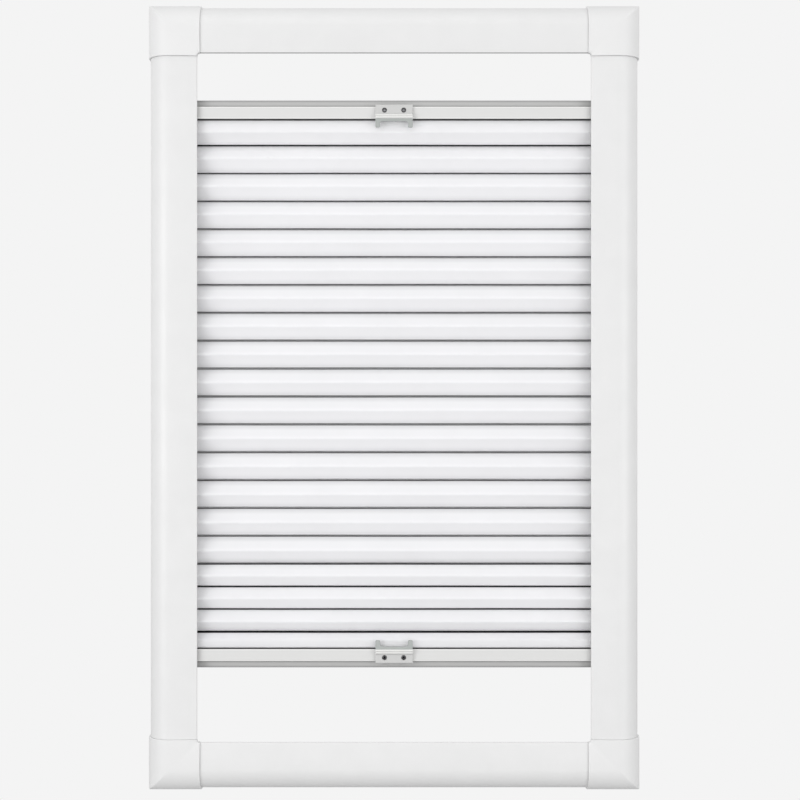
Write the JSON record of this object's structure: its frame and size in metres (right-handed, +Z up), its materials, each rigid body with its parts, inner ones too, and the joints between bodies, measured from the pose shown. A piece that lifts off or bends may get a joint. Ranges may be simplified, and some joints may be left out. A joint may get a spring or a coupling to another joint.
{
  "type": "pleated blind",
  "caption": "Upright rectangular clip-on window frame with capped corners, holding a pleated cloth blind between sliding top and bottom rails with small screwed tab handles.",
  "frame": {"origin": "middle of the frame's opening, on the plane of the frame's back that seats on the sash", "axes": "+X across the blind to the viewer's right, +Y from the room towards the sash, +Z up"},
  "size_m": [0.4112, 0.0286, 0.6562],
  "materials": {
    "frame_upvc": "satin",
    "cap_abs": "satin",
    "rail_aluminium": "satin",
    "strip_plastic": "matte",
    "guide_nylon": "satin",
    "brake_felt": "matte",
    "handle_abs": "satin",
    "screw_steel": "satin",
    "pleat_cloth": "matte"
  },
  "bodies": {
    "frame_assembly": {"left_stile": "frame_upvc", "right_stile": "frame_upvc", "head_bar": "frame_upvc", "sill_bar": "frame_upvc", "corner_cap_top_right": "cap_abs", "corner_cap_top_left": "cap_abs", "corner_cap_bottom_right": "cap_abs", "corner_cap_bottom_left": "cap_abs", "pleated_cloth": "pleat_cloth"},
    "top_rail_assembly": {"top_rail": "rail_aluminium", "top_cloth_strip": "strip_plastic", "top_guide_left": "guide_nylon", "top_guide_right": "guide_nylon", "top_brake_left": "brake_felt", "top_brake_right": "brake_felt", "top_handle": "handle_abs", "top_handle_screws": "screw_steel"},
    "bottom_rail_assembly": {"bottom_rail": "rail_aluminium", "bottom_cloth_strip": "strip_plastic", "bottom_guide_left": "guide_nylon", "bottom_guide_right": "guide_nylon", "bottom_brake_left": "brake_felt", "bottom_brake_right": "brake_felt", "bottom_handle": "handle_abs", "bottom_handle_screws": "screw_steel"}
  },
  "joints": [
    {"name": "top_rail_slide", "type": "slide", "parent": "frame_assembly", "child": "top_rail_assembly", "axis": [0, 0, 1], "range_m": [-0.217, 0.0349], "deforming": ["pleated_cloth"]},
    {"name": "bottom_rail_slide", "type": "slide", "parent": "frame_assembly", "child": "bottom_rail_assembly", "axis": [0, 0, 1], "range_m": [-0.0579, 0.194], "deforming": ["pleated_cloth"]}
  ]
}
